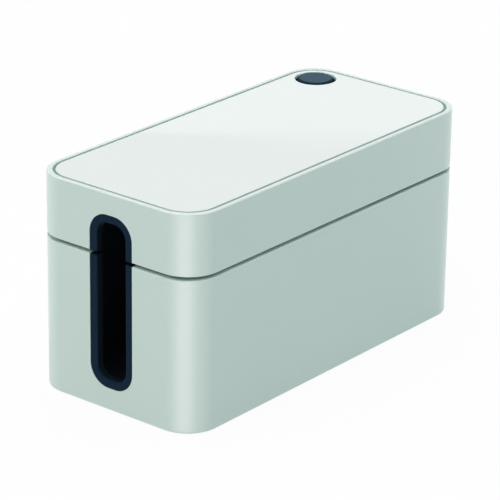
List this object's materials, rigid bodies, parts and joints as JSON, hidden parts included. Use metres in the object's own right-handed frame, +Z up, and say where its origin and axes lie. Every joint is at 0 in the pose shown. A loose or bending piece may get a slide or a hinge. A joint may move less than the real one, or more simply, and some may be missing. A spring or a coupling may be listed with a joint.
{
  "type": "cable management box",
  "caption": "Lidded box that hides a power strip, with a soft-edged cable slot in each end, an inlaid lid panel, a corner port with a lift-out plug, and rubber feet.",
  "frame": {"origin": "middle of the footprint, on the surface that the rubber feet stand on", "axes": "+Z up, +X along the length towards the end with the port, +Y along the width towards the long side with the port"},
  "size_m": [0.246, 0.116, 0.1285],
  "materials": {
    "shell_plastic": "satin",
    "panel_plastic": "gloss",
    "liner_rubber": "matte",
    "plug_rubber": "matte",
    "foot_rubber": "matte"
  },
  "bodies": {
    "base": {"base_shell": "shell_plastic", "slot_liner_lower_left": "liner_rubber", "slot_liner_lower_right": "liner_rubber", "rubber_foot_front_left": "foot_rubber", "rubber_foot_front_right": "foot_rubber", "rubber_foot_back_left": "foot_rubber", "rubber_foot_back_right": "foot_rubber"},
    "lid": {"lid_shell": "shell_plastic", "lid_panel": "panel_plastic", "slot_liner_upper_left": "liner_rubber", "slot_liner_upper_right": "liner_rubber"},
    "plug": {"port_plug": "plug_rubber"}
  },
  "joints": [
    {"name": "lid_lift", "type": "slide", "parent": "base", "child": "lid", "axis": [0, 0, 1], "range_m": [0, 0.1]},
    {"name": "port_plug_lift", "type": "slide", "parent": "lid", "child": "plug", "axis": [0, 0, 1], "range_m": [0, 0.02]}
  ]
}
